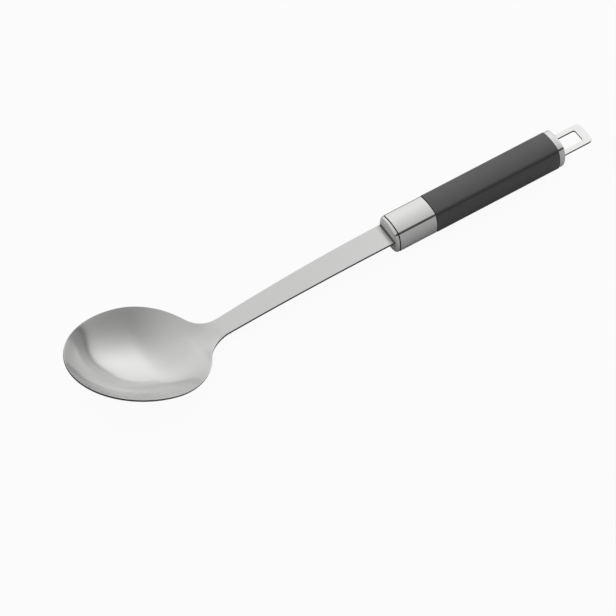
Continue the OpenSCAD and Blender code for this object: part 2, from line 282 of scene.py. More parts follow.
def core_nylon():
    """Black moulded nylon."""
    material, tree = new_material("moulded_nylon_core")
    place = add(tree, "ShaderNodeTexCoord").outputs["Object"]
    flow = add(tree, "ShaderNodeTexNoise", place, named={
        "Scale": 1 / FLOW, "Detail": 3.0, "Distortion": 1.2})
    tone = add(tree, "ShaderNodeMix", data_type="RGBA", named={
        "Factor": flow.outputs["Fac"], 6: paint("#242425"), 7: paint("#2e2e30")})
    rough = add(tree, "ShaderNodeMapRange", flow.outputs["Fac"], *NOISE_SPAN, *NYLON_ROUGH)
    shader = add(tree, "ShaderNodeBsdfPrincipled", named={
        "Base Color": tone.outputs[2], "Roughness": rough, "IOR": 1.53})
    add(tree, "ShaderNodeOutputMaterial", shader)
    return material


def drawn_wire():
    """Steel wire, drawn through a die along Z."""
    material, tree = new_material("drawn_steel_wire")
    place = add(tree, "ShaderNodeTexCoord").outputs["Object"]
    along = add(tree, "ShaderNodeMapping", place, None, None, (1, 1, 1 / DIE_LINE_STRETCH))
    line = add(tree, "ShaderNodeTexNoise", along, named={"Scale": 1 / DIE_LINE, "Detail": 2.0})
    rough = add(tree, "ShaderNodeMapRange", line.outputs["Fac"], *NOISE_SPAN, *WIRE_ROUGH)
    relief = add(tree, "ShaderNodeBump", named={
        "Height": line.outputs["Fac"], "Strength": 0.2, "Distance": 0.01 * MM})
    shader = add(tree, "ShaderNodeBsdfPrincipled", named={
        "Base Color": paint("#bdbcba"), "Metallic": 1.0, "Roughness": rough, "Normal": relief})
    add(tree, "ShaderNodeOutputMaterial", shader)
    return material


kept_nodes = {"core_upper": core_nylon(), "tang_rivets": drawn_wire()}
kept_nodes["core_lower"] = kept_nodes["core_upper"]
kept_nodes["loop_pins"] = kept_nodes["tang_rivets"]
for name, material in kept_nodes.items():
    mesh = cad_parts[name].data
    mesh.materials.clear()
    mesh.materials.append(material)
    print(name, "is now", material.name)

# %% [markdown]
# ## Finishing a mesh
#
# Every piece below ends the same way. Its mesh is set smooth, but edges that turn by more than a set
# angle stay crisp. A Weighted Normal modifier then lets the large faces decide the shading, so that a
# flat face stays flat right up to its small rounded edge. The result is frozen into a plain mesh, and
# the piece gets its finish and is hung on the body that it rides on, and the solid that it stands for
# is hidden. A steel piece also notes how much painted shade each of its faces takes. A plate takes
# painted shade on its cut edge, and a drawn bar a painted dark reflection along its creases and
# painted shade in its seams.

# %% Meshes and notes of raw steel
# Which faces take painted shade: a cut edge is steeper than the first number, a crease is turned from
# both sides by more than the second, and the third is how dark the painted dark reflection along a
# crease is.
STEEP = 0.6
CREASED = 0.36
CREASE_SHADE = 0.85


def freeze(piece):
    """Turns a piece with modifiers into a plain mesh with the same shape."""
    made = bpy.data.meshes.new_from_object(
        piece.evaluated_get(bpy.context.evaluated_depsgraph_get()))
    piece.modifiers.clear()
    piece.data = made


def new_piece(name, points, faces):
    """An object with a mesh made of places in metres, with all its faces turned outwards."""
    mesh = bpy.data.meshes.new(name)
    mesh.from_pydata(points, [], faces)
    shell = bmesh.new()
    shell.from_mesh(mesh)
    bmesh.ops.recalc_face_normals(shell, faces=shell.faces)
    shell.to_mesh(mesh)
    shell.free()
    piece = bpy.data.objects.new(name, mesh)
    bpy.context.scene.collection.objects.link(piece)
    return piece


def note_painted_shade(piece, how_shaded):
    """Notes how much painted shade each face of a piece takes, from 0 to 1, as a face attribute."""
    painted_shade = piece.data.attributes.new("painted_shade", "FLOAT", "FACE")
    for face in piece.data.polygons:
        painted_shade.data[face.index].value = how_shaded(face)


def shade_on_cut_edge(face):
    """A plate takes painted shade on its cut edge."""
    return float(abs(face.normal.z) < STEEP)


def shade_on_creases(face):
    """A drawn bar takes a painted dark reflection along its creases."""
    return CREASE_SHADE * float(min(abs(face.normal.y), abs(face.normal.z)) > CREASED)


print("helpers for meshes are ready: freeze, new_piece and note_painted_shade")

# %% The finishing helper
CRISP = math.radians(32)


def finish_piece(piece, node, material):
    """Smooths and freezes a piece, hangs it on the root body, and hides the solid that it stands for.
    """
    piece.data.materials.clear()
    piece.data.materials.append(material)
    piece.data.shade_smooth()
    piece.data.set_sharp_from_angle(angle=CRISP)
    weighted = piece.modifiers.new("flat faces stay flat", "WEIGHTED_NORMAL")
    weighted.keep_sharp = True
    freeze(piece)
    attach(piece, "root")
    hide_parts(node)
    print(piece.name, "has", len(piece.data.polygons), "faces")


print("edges that turn by more than", round(math.degrees(CRISP)), "degrees stay crisp")

# %% [markdown]
# ## The blade, step one: the flat blank
#
# A spoon starts as a flat blank, cut from sheet. Its outline is a narrow tang, a shank whose sides
# bow gently inwards, two fillets at the neck and an egg made of two half ellipses. Each of these is
# a formula of the distance along the blade, counted from where the shank starts to arch. The blank
# could be traced point by point, but formulas give as many smooth rows as the mesh needs.

# %% The blank's sizes, in mm
SHEET_T = 1.5
SHANK_FRONT_W = 15.8
SHANK_NECK_W = 12.2
SHANK_LEN = 113.3
SIDE_BOW = 1.65
BOWL_W = 71.2
BOWL_FRONT_LEN = 49.1
BOWL_BACK_LEN = 39.0
NECK_TO_WIDEST = 46.2
NECK_FILLET_R = 18.4
FRONT_CAP_LEN = 3.0
SHANK_LEAD = 1.0
TANG_W = 12.0
TANG_LEN = 66.0
TANG_CUT = 2.0
SHOULDER_RUN = 2.0

front_s = -(FRONT_CAP_LEN + SHANK_LEAD)
shoulder_s = front_s - SHOULDER_RUN
tang_s = front_s - TANG_LEN
widest_s = SHANK_LEN + NECK_TO_WIDEST
tip_s = widest_s + BOWL_FRONT_LEN
print("the flat blank is", round(tip_s - tang_s, 1), "mm long and", BOWL_W, "mm wide")


# %% The blank's outline
def shank_half(s):
    """Half the shank's width."""
    bow = (max(s, 0) / SHANK_LEN) ** SIDE_BOW
    return (SHANK_FRONT_W - (SHANK_FRONT_W - SHANK_NECK_W) * bow) / 2


def fillet_centre(angle):
    """The centre of a neck fillet that touches the bowl's oval at this angle."""
    place = Vector((widest_s - BOWL_BACK_LEN * math.cos(angle), BOWL_W / 2 * math.sin(angle)))
    out = Vector((-BOWL_W / 2 * math.cos(angle), BOWL_BACK_LEN * math.sin(angle)))
    return place, place + NECK_FILLET_R * out.normalized()


def roll_fillet(low, high, tries):
    """Rolls the fillet along the oval until it also touches the shank."""
    for _ in range(tries):
        middle = (low + high) / 2
        centre = fillet_centre(middle)[1]
        if centre.y - NECK_FILLET_R > shank_half(centre.x):
            high = middle
        else:
            low = middle
    return (low + high) / 2


meet_angle = roll_fillet(low=math.radians(1), high=math.radians(80), tries=30)
meet, fillet = fillet_centre(meet_angle)


def half_width(s):
    """Half the blank's width at a distance along it."""
    if s < tang_s + TANG_CUT:
        return TANG_W / 2 - (tang_s + TANG_CUT - s)
    if s < front_s:
        grow = max(0, (s - shoulder_s) / SHOULDER_RUN)
        return (TANG_W + (SHANK_FRONT_W - TANG_W) * grow) / 2
    if s <= fillet.x:
        return shank_half(s)
    if s <= meet.x:
        return fillet.y - math.sqrt(NECK_FILLET_R ** 2 - (s - fillet.x) ** 2)
    reach = BOWL_BACK_LEN if s < widest_s else BOWL_FRONT_LEN
    return BOWL_W / 2 * math.sqrt(max(0, 1 - ((s - widest_s) / reach) ** 2))


print("the fillet meets the oval", round(widest_s - meet.x, 1), "mm behind the widest line")

# %% [markdown]
# The blank's mesh is a grid. Along the shank and the back of the bowl its rows run straight across.
# In the front of the bowl straight rows would shrink to a point at the tip and pinch the shading, so
# there a square of quads is bent into half a disc, which keeps every quad open. Around the grid runs
# the rim: the edge of the sheet, with its two corners rounded as tumbling leaves them. The grid stops
# short of the outline by that rounding, and small arcs lead over it and down the wall.

# %% The blank's grid
EDGE_ROUND = 0.35
COLUMNS = 48
TANG_ROWS = 20
SHOULDER_ROWS = 2
SHANK_ROWS = 60
NECK_ROWS = 24
BACK_ROWS = 32
FRONT_ROWS = 36
SLOPE_STEP = 0.01
# Painted shade on the shank where it runs into the front cap's slot: how far from the cap, in mm, and
# how dark.
SLOT_SHADE = [(0.7, 0.9), (1.8, 0.3), (3.2, 0.15)]

cap_s = front_s + FRONT_CAP_LEN
back_rows = (
    [tang_s, tang_s + TANG_CUT] + steps(tang_s + TANG_CUT, shoulder_s, TANG_ROWS)[1:]
    + steps(shoulder_s, front_s, SHOULDER_ROWS)[1:]
    + [cap_s] + [cap_s + run for run, _ in SLOT_SHADE]
    + steps(cap_s + SLOT_SHADE[-1][0], fillet.x, SHANK_ROWS)[1:]
    + steps(fillet.x, meet.x, NECK_ROWS)[1:]
    + [widest_s - BOWL_BACK_LEN * math.cos(a)
       for a in steps(meet_angle, math.pi / 2, BACK_ROWS)[1:]])


def grid_row(row, inset):
    """The flat places of one row of the grid, with the outline drawn in by an inset."""
    shares = steps(-1, 1, COLUMNS)
    if row < len(back_rows):
        s = back_rows[row]
        before, after = half_width(s - SLOPE_STEP), half_width(s + SLOPE_STEP)
        slope = (after - before) / (2 * SLOPE_STEP) if s < widest_s - SLOPE_STEP else 0
        out = Vector((-slope, 1)).normalized() * inset
        start = inset if row == 0 else 0
        half = half_width(s) - out.y
        return [(s + start - out.x * abs(v), half * v) for v in shares]
    u = (row - len(back_rows) + 1) / FRONT_ROWS
    length = BOWL_FRONT_LEN - inset
    half = BOWL_W / 2 - inset
    return [(widest_s + length * u * math.sqrt(1 - v * v / 2), half * v * math.sqrt(1 - u * u / 2))
            for v in shares]


def rim_order(rows):
    """The grid's outer places in order round the outline, as (row, column)."""
    last = rows - 1
    return ([(r, COLUMNS) for r in range(rows)] + [(last, c) for c in range(COLUMNS - 1, -1, -1)]
            + [(r, 0) for r in range(last - 1, -1, -1)] + [(0, c) for c in range(1, COLUMNS)])


print("the grid has", len(back_rows) + FRONT_ROWS, "rows of", COLUMNS + 1, "places")

# %% The closed plate
EDGE_STEPS = 4


def flat_blank():
    """The blank as a closed flat plate: its length is x, its width y, and its top face z = 0."""
    rows = len(back_rows) + FRONT_ROWS
    wide = COLUMNS + 1
    inner = [grid_row(r, EDGE_ROUND) for r in range(rows)]
    outer = [grid_row(r, 0) for r in range(rows)]
    points = [(x, y, 0) for row in inner for x, y in row]
    points += [(x, y, -SHEET_T) for row in inner for x, y in row]
    under = rows * wide
    faces = []
    for r in range(rows - 1):
        for c in range(COLUMNS):
            a = r * wide + c
            faces.append((a, a + wide, a + wide + 1, a + 1))
            faces.append((under + a, under + a + 1, under + a + wide + 1, under + a + wide))
    rim = rim_order(rows)
    loops = [[r * wide + c for r, c in rim]]
    arc = steps(0, math.pi / 2, EDGE_STEPS)[1:]
    levels = [(math.sin(a), EDGE_ROUND * (1 - math.cos(a))) for a in arc]
    levels += [(out, SHEET_T - depth) for out, depth in reversed(levels)]
    for out, depth in levels:
        loops.append(list(range(len(points), len(points) + len(rim))))
        for r, c in rim:
            low, high = Vector(inner[r][c]), Vector(outer[r][c])
            place = low.lerp(high, out)
            points.append((place.x, place.y, -depth))
    loops.append([under + r * wide + c for r, c in rim])
    for upper, lower in zip(loops, loops[1:]):
        for i, a in enumerate(upper):
            j = (i + 1) % len(upper)
            faces.append((a, lower[i], lower[j], upper[j]))
    return [Vector(p) * MM for p in points], faces


blank_points, blank_faces = flat_blank()
blade = new_piece("spoon_blade_satin", blank_points, blank_faces)
print("the flat blank has", len(blank_faces), "faces")

# %% [markdown]
# Three notes go onto the flat blank before it is pressed. One says how much painted shade each face
# takes: fully on the cut edge, and less and less along the first 3 mm of the shank, where it runs
# into the front cap's slot. One says how far each point lies from the middle line, as a share of the
# half width, which the press needs. The last is the flat sheet's own map, which the brush lines follow.


# %% Notes on the blank
def shade_on_blade(face):
    """The blade takes painted shade on its cut edge, and less and less where it leaves the front cap.
    """
    run = face.center.x / MM - cap_s
    shade = [darkness for reach, darkness in SLOT_SHADE if 0 < run < reach]
    return shade_on_cut_edge(face) or (shade[0] if shade else 0.0)


note_painted_shade(blade, shade_on_blade)
share = blade.data.attributes.new("share", "FLOAT", "POINT")
sheet = blade.data.uv_layers.new(name="sheet")
for i, vertex in enumerate(blade.data.vertices):
    half = half_width(vertex.co.x / MM) * MM
    share.data[i].value = min(1, abs(vertex.co.y) / half) if half > 0 else 0
for loop in blade.data.loops:
    sheet.data[loop.index].uv = blade.data.vertices[loop.vertex_index].co.xy
print("noted painted_shade_levels, share of width and map on", len(blade.data.vertices), "points")

# %% [markdown]
# ## The blade, step two: the middle line
#
# Seen from the side, the blade follows one line: straight in the handle, a long gentle arch along
# the shank, a tight bend upwards at the neck, and then straight again along the bowl's rim. It is
# drawn as a curve, so that Geometry Nodes can look up a place and a direction at any distance.

# %% The middle line
SHANK_DROOP = math.radians(6.3)
NECK_BEND_R = 30.0
BOWL_LIFT = math.radians(21)
SHANK_TOP = 2.0
LINE_STEP = 0.5

arch_r = SHANK_LEN / SHANK_DROOP
lift_s = SHANK_LEN + NECK_BEND_R * (SHANK_DROOP + BOWL_LIFT)


def on_bend(pitch):
    """A place on the neck's bend, where the blade has this pitch."""
    end_x = front_s - arch_r * math.sin(SHANK_DROOP)
    end_z = SHANK_TOP - arch_r * (1 - math.cos(SHANK_DROOP))
    return (end_x - NECK_BEND_R * (math.sin(pitch) + math.sin(SHANK_DROOP)),
            end_z + NECK_BEND_R * (math.cos(SHANK_DROOP) - math.cos(pitch)))


def line_place(s):
    """The height and place of the sheet's top face at a distance along the blade."""
    if s <= 0:
        return front_s - s, SHANK_TOP
    if s <= SHANK_LEN:
        turn = s / arch_r
        return front_s - arch_r * math.sin(turn), SHANK_TOP - arch_r * (1 - math.cos(turn))
    if s <= lift_s:
        return on_bend((s - SHANK_LEN) / NECK_BEND_R - SHANK_DROOP)
    x, z = on_bend(BOWL_LIFT)
    return x - (s - lift_s) * math.cos(BOWL_LIFT), z + (s - lift_s) * math.sin(BOWL_LIFT)


def draw_line():
    """The middle line as a curve of short straight pieces."""
    curve = bpy.data.curves.new("middle_line", "CURVE")
    curve.dimensions = "3D"
    spline = curve.splines.new("POLY")
    count = round((tip_s + LINE_STEP - tang_s) / LINE_STEP)
    spline.points.add(count)
    for point, s in zip(spline.points, steps(tang_s, tip_s + LINE_STEP, count)):
        x, z = line_place(s)
        point.co = (*at(x, 0, z), 1)
    line = bpy.data.objects.new("middle_line", curve)
    bpy.context.scene.collection.objects.link(line)
    return line


middle_line = draw_line()
print("the shank's arch has a radius of", round(arch_r), "mm")

# %% [markdown]
# ## The blade, step three: the press
#
# The press is a tree of Geometry Nodes. It takes each point of the blank, finds its place on the
# middle line, and pushes it down by the depth of the bowl there. Along the bowl the depth swells
# softly from the neck to the deepest place and then runs out to the tip; across it, the floor is
# flat and the walls are steep, like a squashed circle, but they ease off again towards the rim. That
# ease keeps the wall nearest to the viewer pale, because it mirrors the room and not the bowl. The
# tree then drills the tang for its two rivets. The same shape could be moved point by point in
# Python, but as a tree each size of the die has a name and can be turned like a knob.

# %% The die's sizes
RUN_IN = 10.0
DEEPEST_BACK = 4.5
RIVET_HEAD_R = 2.7

rivets_low, rivets_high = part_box("tang_rivets")
DIE = {
    "Line start": tang_s * MM,
    "Run-in start": (widest_s - BOWL_BACK_LEN - RUN_IN) * MM,
    "Deepest place": (widest_s - DEEPEST_BACK) * MM,
    "Tip": tip_s * MM,
    "Bowl depth": 15.2 * MM,
    "Cross fullness": 2.4,
    "Rim ease": 0.25,
    "Rim ease power": 5.0,
    "Front fullness": 2.4,
    "Rivet hole radius": 1.55 * MM,
    "First rivet": rivets_low.x + RIVET_HEAD_R * MM,
    "Rivet spacing": rivets_high.x - rivets_low.x - 2 * RIVET_HEAD_R * MM,
}
print("the die has", len(DIE), "sizes; the bowl is", round(DIE["Bowl depth"] / MM, 1), "mm deep")


# %% The press
def press_tree():
    """The press and the drill, as a Geometry Nodes tree."""
    tree = bpy.data.node_groups.new("blade_press", "GeometryNodeTree")
    face = tree.interface
    face.new_socket("Blank", in_out="INPUT", socket_type="NodeSocketGeometry")
    face.new_socket("Middle line", in_out="INPUT", socket_type="NodeSocketObject")
    face.new_socket("Finish", in_out="INPUT", socket_type="NodeSocketMaterial")
    for name in DIE:
        face.new_socket(name, in_out="INPUT", socket_type="NodeSocketFloat")
    face.new_socket("Blade", in_out="OUTPUT", socket_type="NodeSocketGeometry")
    given = add(tree, "NodeGroupInput").outputs

    flat = add(tree, "ShaderNodeSeparateXYZ", add(tree, "GeometryNodeInputPosition"))
    share = add(tree, "GeometryNodeInputNamedAttribute", "share", data_type="FLOAT")
    length = add(tree, "ShaderNodeMath", flat.outputs["X"], given["Line start"],
                 operation="SUBTRACT")
    path = add(tree, "GeometryNodeObjectInfo", given["Middle line"]).outputs["Geometry"]
    line = add(tree, "GeometryNodeSampleCurve", mode="LENGTH", named={
        "Curves": path, "Length": length})
    down = add(tree, "ShaderNodeVectorMath", line.outputs["Tangent"], (0, 1, 0),
               operation="CROSS_PRODUCT")

    swell = add(tree, "ShaderNodeMapRange", flat.outputs["X"], given["Run-in start"],
                given["Deepest place"], 0.0, math.pi / 2)
    swell = add(tree, "ShaderNodeMath", swell, operation="SINE")
    swell = add(tree, "ShaderNodeMath", swell, 2.0, operation="POWER")
    ebb = add(tree, "ShaderNodeMapRange", flat.outputs["X"], given["Deepest place"],
              given["Tip"], 0.0, 1.0)
    ebb = add(tree, "ShaderNodeMath", ebb, given["Front fullness"], operation="POWER")
    ebb = add(tree, "ShaderNodeMath", 1.0, ebb, operation="SUBTRACT")
    wall = add(tree, "ShaderNodeMath", share, given["Cross fullness"], operation="POWER")
    ease = add(tree, "ShaderNodeMath", share, given["Rim ease power"], operation="POWER")
    ease = add(tree, "ShaderNodeMath", wall, ease, operation="SUBTRACT")
    wall = add(tree, "ShaderNodeMath", ease, given["Rim ease"], wall, operation="MULTIPLY_ADD")
    wall = add(tree, "ShaderNodeMath", 1.0, wall, operation="SUBTRACT")
    sink = add(tree, "ShaderNodeMath", swell, ebb, operation="MULTIPLY")
    sink = add(tree, "ShaderNodeMath", sink, wall, operation="MULTIPLY")
    sink = add(tree, "ShaderNodeMath", sink, given["Bowl depth"], operation="MULTIPLY")
    fall = add(tree, "ShaderNodeMath", sink, flat.outputs["Z"], operation="SUBTRACT")
    push = add(tree, "ShaderNodeVectorMath", down, operation="SCALE", named={"Scale": fall})
    side = add(tree, "ShaderNodeCombineXYZ", named={"Y": flat.outputs["Y"]})
    place = add(tree, "ShaderNodeVectorMath", line.outputs["Position"], side, operation="ADD")
    place = add(tree, "ShaderNodeVectorMath", place, push, operation="ADD")
    pressed = add(tree, "GeometryNodeSetPosition", given["Blank"], named={"Position": place})

    first = add(tree, "ShaderNodeCombineXYZ", given["First rivet"], 0.0, axis_z)
    gap = add(tree, "ShaderNodeCombineXYZ", given["Rivet spacing"])
    holes = add(tree, "GeometryNodeMeshLine", named={
        "Count": 2, "Start Location": first, "Offset": gap})
    drill = add(tree, "GeometryNodeMeshCylinder", named={
        "Vertices": 48, "Radius": given["Rivet hole radius"], "Depth": 4 * SHEET_T * MM})
    drills = add(tree, "GeometryNodeInstanceOnPoints", holes, named={"Instance": drill})
    drilled = add(tree, "GeometryNodeMeshBoolean", pressed, operation="DIFFERENCE")
    tree.links.new(add(tree, "GeometryNodeRealizeInstances", drills).outputs[0],
                   drilled.inputs["Mesh 2"])
    real = add(tree, "GeometryNodeRealizeInstances", drilled)
    dressed = add(tree, "GeometryNodeSetMaterial", real, named={"Material": given["Finish"]})
    add(tree, "NodeGroupOutput", dressed)
    return tree


blade_press = press_tree()
print("the press has", len(blade_press.nodes), "nodes")


# %% Pressing the blade
def press(piece, tree, values):
    """Runs the press on the blank, with each named size set by its socket's identifier."""
    modifier = piece.modifiers.new("press", "NODES")
    modifier.node_group = tree
    for socket in tree.interface.items_tree:
        if socket.name in values:
            modifier[socket.identifier] = values[socket.name]
    freeze(piece)


press(blade, blade_press, {"Middle line": middle_line, "Finish": steel, **DIE})
bpy.data.objects.remove(middle_line)
blade.data.attributes.remove(blade.data.attributes["share"])
finish_piece(blade, "spoon_blade", steel)

# %% [markdown]
# ## The handle's section
#
# Ferrule, grip and caps share one section: a square whose four faces bulge, so that they meet in
# creases. Each face is an arc of one large circle. A small arc rounds each crease, a narrow lip runs
# along each side of it, and an inset moves the faces inwards, which is all that is needed to round over
# an end. A ring is this section at one place along the handle, and a piece of the handle is a row of
# rings joined by faces.

# %% One ring
FACE_BULGE = 1.7
FACE_STEPS = 20
CREASE_STEPS = 6
CREASE_LIP = 0.35


def ring(x, edge, crease_r, inset=0.0):
    """One ring of the handle: edge is the width between its creases."""
    face_r = ((edge / 2) ** 2 + FACE_BULGE ** 2) / (2 * FACE_BULGE)
    shift = face_r - edge / 2 - FACE_BULGE
    face_r -= inset
    centre = (math.sqrt(2 * (face_r - crease_r) ** 2 - shift ** 2) - shift) / 2
    turn = math.atan2(centre, centre + shift)
    inner = turn - CREASE_LIP / face_r
    quarter = [(face_r * math.cos(a) - shift, face_r * math.sin(a))
               for a in [-turn] + steps(-inner, inner, FACE_STEPS) + [turn]]
    quarter += [(centre + crease_r * math.cos(a), centre + crease_r * math.sin(a))
                for a in steps(turn, math.pi / 2 - turn, CREASE_STEPS)[1:-1]]
    points = []
    for cos, sin in ((1, 0), (0, 1), (-1, 0), (0, -1)):
        points += [at(x, y * cos - z * sin, y * sin + z * cos) for y, z in quarter]
    return points


print("one ring has", len(ring(x=0, edge=16, crease_r=1)), "points")


# %% Skins and sleeves
def rounded_end(x, direction, edge, crease_r, round_r, count=6):
    """The rings of a rounded end, from its flat face outwards; direction points into the piece."""
    return [ring(x + direction * round_r * (1 - math.sin(a)), edge, crease_r,
                 round_r * (1 - math.cos(a))) for a in steps(math.pi / 2, 0, count)]


def skin(name, rings, closed_tube):
    """Joins rings into a closed shell: a tube that returns to its first ring, or a capped plug."""
    wide = len(rings[0])
    pairs = list(zip(range(len(rings)), range(1, len(rings))))
    if closed_tube:
        pairs.append((len(rings) - 1, 0))
    faces = [(a * wide + i, b * wide + i, b * wide + (i + 1) % wide, a * wide + (i + 1) % wide)
             for a, b in pairs for i in range(wide)]
    if not closed_tube:
        faces.append(tuple(range(wide)))
        faces.append(tuple((len(rings) - 1) * wide + i for i in range(wide)))
    return new_piece(name, [p for r in rings for p in r], faces)


def sleeve(name, start, end, edge, bore, crease_r, front_r, rear_r, count):
    """A hollow bar with rounded ends."""
    outside = rounded_end(start, 1, edge, crease_r, front_r)
    outside += [ring(x, edge, crease_r) for x in steps(start + front_r, end - rear_r, count)[1:-1]]
    outside += reversed(rounded_end(end, -1, edge, crease_r, rear_r))
    inside = [ring(x, bore, crease_r) for x in steps(end, start, 2)]
    return skin(name, outside + inside, True)


print("helpers for handle pieces are ready: rounded_end, skin and sleeve")

# %% [markdown]
# ## The ferrule and the grip
#
# The ferrule is a sleeve of polished sheet. Its creases are sharp, because the sheet is drawn over a
# sharp tool, and its rear edge is rolled in a little where it meets the plastic. The grip is moulded,
# so its creases are far softer, and it stands a quarter of a millimetre proud of the steel.

# %% Ferrule and grip
FERRULE_EDGE = 16.3
FERRULE_WALL = 1.0
GRIP_PROUD = 0.24
FERRULE_CREASE_R = 1.0
GRIP_CREASE_R = 3.2
# How far a face turns to the front before it takes painted shade in the ferrule's front seam.
END_FACING = 0.25

ferrule_end = (ferrule_high.x - ferrule_low.x) / MM
grip_end = (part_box("grip")[1].x - front_x) / MM
bore = FERRULE_EDGE - 2 * FERRULE_WALL

ferrule = sleeve("ferrule_polished", 0, ferrule_end, FERRULE_EDGE, bore, FERRULE_CREASE_R,
                 front_r=0.25, rear_r=0.7, count=6)
# The ferrule takes painted shade on its front end, in the seam, and a painted dark reflection along its
# creases.
note_painted_shade(ferrule, lambda face: float(face.normal.x < -END_FACING) or shade_on_creases(face))
finish_piece(ferrule, "ferrule", bright)
grip = sleeve("grip_black", ferrule_end, grip_end, FERRULE_EDGE + 2 * GRIP_PROUD, bore,
              GRIP_CREASE_R, front_r=0.5, rear_r=0.5, count=20)
finish_piece(grip, "grip", grip_black)

# %% [markdown]
# ## The caps
#
# Each cap is a solid plug: a rounded head outside, and a spigot that fills the sleeve. The front cap
# has a slot for the shank and the end cap two for the loop's legs. A slot is cut with a Boolean
# modifier and a plain cutter block, as a milling cutter would do it, and the cutter is thrown away.
# The slot and the open seam behind the front cap's head take painted shade, so that they read as dark
# lines.

# %% The caps' sizes and their cutter
CAP_EDGE = 16.0
CORE_EDGE = 14.1
CAP_CREASE_R = 0.8
SPIGOT = 5.0
SLOT_FIT = 0.15
CUTTER_SPARE = 1.0


def cut(piece, boxes):
    """Cuts box-shaped slots, each given by two corners in mm, out of a piece."""
    corners = [(0, 0, 0), (1, 0, 0), (1, 1, 0), (0, 1, 0), (0, 0, 1), (1, 0, 1), (1, 1, 1), (0, 1, 1)]
    sides = [(0, 3, 2, 1), (4, 5, 6, 7), (0, 1, 5, 4), (1, 2, 6, 5), (2, 3, 7, 6), (3, 0, 4, 7)]
    for low, high in boxes:
        points = [at(*(high[i] if corner[i] else low[i] for i in range(3))) for corner in corners]
        cutter = new_piece("cutter", points, sides)
        boolean = piece.modifiers.new("slot", "BOOLEAN")
        boolean.object = cutter
        boolean.operation = "DIFFERENCE"
        boolean.solver = "EXACT"
        freeze(piece)
        bpy.data.objects.remove(cutter)


print("a slot is", SLOT_FIT, "mm wider on each side than what runs through it")

# %% Front cap
FRONT_ROUND = 2.2
SEAM = 0.3
# The head's lip next to the seam, which takes painted shade with it.
SEAM_LIP = 0.25
SLOT_FACING = 0.99
SLOT_REACH = 4.0
NOSE_FACING = 0.5
# How much painted shade the front cap's nose takes.
NOSE_SHADE = 0.12

shank_room = SHANK_FRONT_W / 2 + SLOT_FIT
shank_low = SHANK_TOP - SHEET_T - SLOT_FIT
front_rings = rounded_end(-FRONT_CAP_LEN, 1, CAP_EDGE, CAP_CREASE_R, FRONT_ROUND, count=12)
front_rings += [ring(x, CAP_EDGE, CAP_CREASE_R) for x in (-SEAM - SEAM_LIP, -SEAM)]
front_rings += [ring(x, CORE_EDGE, CAP_CREASE_R) for x in (-SEAM, SPIGOT)]
front_cap = skin("front_cap_polished", front_rings, False)
cut(front_cap, [((-FRONT_CAP_LEN - CUTTER_SPARE, -shank_room, shank_low),
                 (SPIGOT + CUTTER_SPARE, shank_room, SHANK_TOP + SLOT_FIT))])
seam_x = at(-SEAM - SEAM_LIP, 0, 0).x


def shade_on_front_cap(face):
    """The front cap takes painted shade in its seam and its slot and a little on its nose, and a
    painted dark reflection along its creases.
    """
    in_slot = abs(face.normal.z) > SLOT_FACING and abs(face.center.z - axis_z) < SLOT_REACH * MM
    if face.center.x > seam_x or in_slot:
        return 1.0
    return max(shade_on_creases(face), NOSE_SHADE * float(face.normal.x < -NOSE_FACING))


note_painted_shade(front_cap, shade_on_front_cap)
finish_piece(front_cap, "front_cap", bright)

# %% End cap
END_ROUND = 1.2
LOOP_W = 15.5
LEG_W = 3.15
LOOP_T = 1.3

cap_end = (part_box("end_cap")[1].x - front_x) / MM
leg_middle = (LOOP_W - LEG_W) / 2
leg_room = LEG_W / 2 + SLOT_FIT
leg_rise = LOOP_T / 2 + SLOT_FIT
end_rings = rounded_end(cap_end, -1, CAP_EDGE, CAP_CREASE_R, END_ROUND, count=8)
end_rings += [ring(grip_end, CAP_EDGE, CAP_CREASE_R)]
end_rings += [ring(x, CORE_EDGE, CAP_CREASE_R) for x in (grip_end, grip_end - SPIGOT)]
end_cap = skin("end_cap_polished", end_rings, False)
cut(end_cap, [((grip_end - SPIGOT - CUTTER_SPARE, side * leg_middle - leg_room, -leg_rise),
               (cap_end + CUTTER_SPARE, side * leg_middle + leg_room, leg_rise))
              for side in (-1, 1)])
# The end cap's creases take a painted dark reflection.
note_painted_shade(end_cap, shade_on_creases)
finish_piece(end_cap, "end_cap", bright)

# %% [markdown]
# ## The hanging loop
#
# The loop is stamped from 1.3 mm plate: two legs that run into the handle, joined by a band with
# rounded corners. Its outline is drawn once, as straight lines and quarter circles, filled, and given
# its thickness. A Bevel modifier breaks the stamped edges, because no real plate has knife-sharp ones.

# %% The loop's outline
LOOP_REACH = 20.3
LOOP_BAND = 4.9
LOOP_ROUND = 2.8
HOLE_ROUND = 1.5

leg_start = (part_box("hanging_loop")[0].x - front_x) / MM
loop_end = cap_end + LOOP_REACH


def corner(x, y, r, start, count=10):
    """A quarter circle round a centre, in mm, from a start angle in degrees."""
    return [(x + r * math.cos(a), y + r * math.sin(a))
            for a in steps(math.radians(start), math.radians(start + 90), count)]


def loop_outline():
    """The loop seen from above, counter-clockwise: its outside, then its hole's edge back."""
    half = LOOP_W / 2
    hole_half = half - LEG_W
    hole_end = loop_end - LOOP_BAND
    outside = [(leg_start, -half)]
    outside += corner(loop_end - LOOP_ROUND, LOOP_ROUND - half, LOOP_ROUND, -90)
    outside += corner(loop_end - LOOP_ROUND, half - LOOP_ROUND, LOOP_ROUND, 0)
    outside += [(leg_start, half), (leg_start, hole_half)]
    hole = corner(hole_end - HOLE_ROUND, HOLE_ROUND - hole_half, HOLE_ROUND, -90)
    hole += corner(hole_end - HOLE_ROUND, hole_half - HOLE_ROUND, HOLE_ROUND, 0)
    return outside + hole[::-1] + [(leg_start, -hole_half)]


print("the loop's legs are", round(cap_end - leg_start, 1), "mm long inside the handle")

# %% Hanging loop
EDGE_BREAK = 0.15


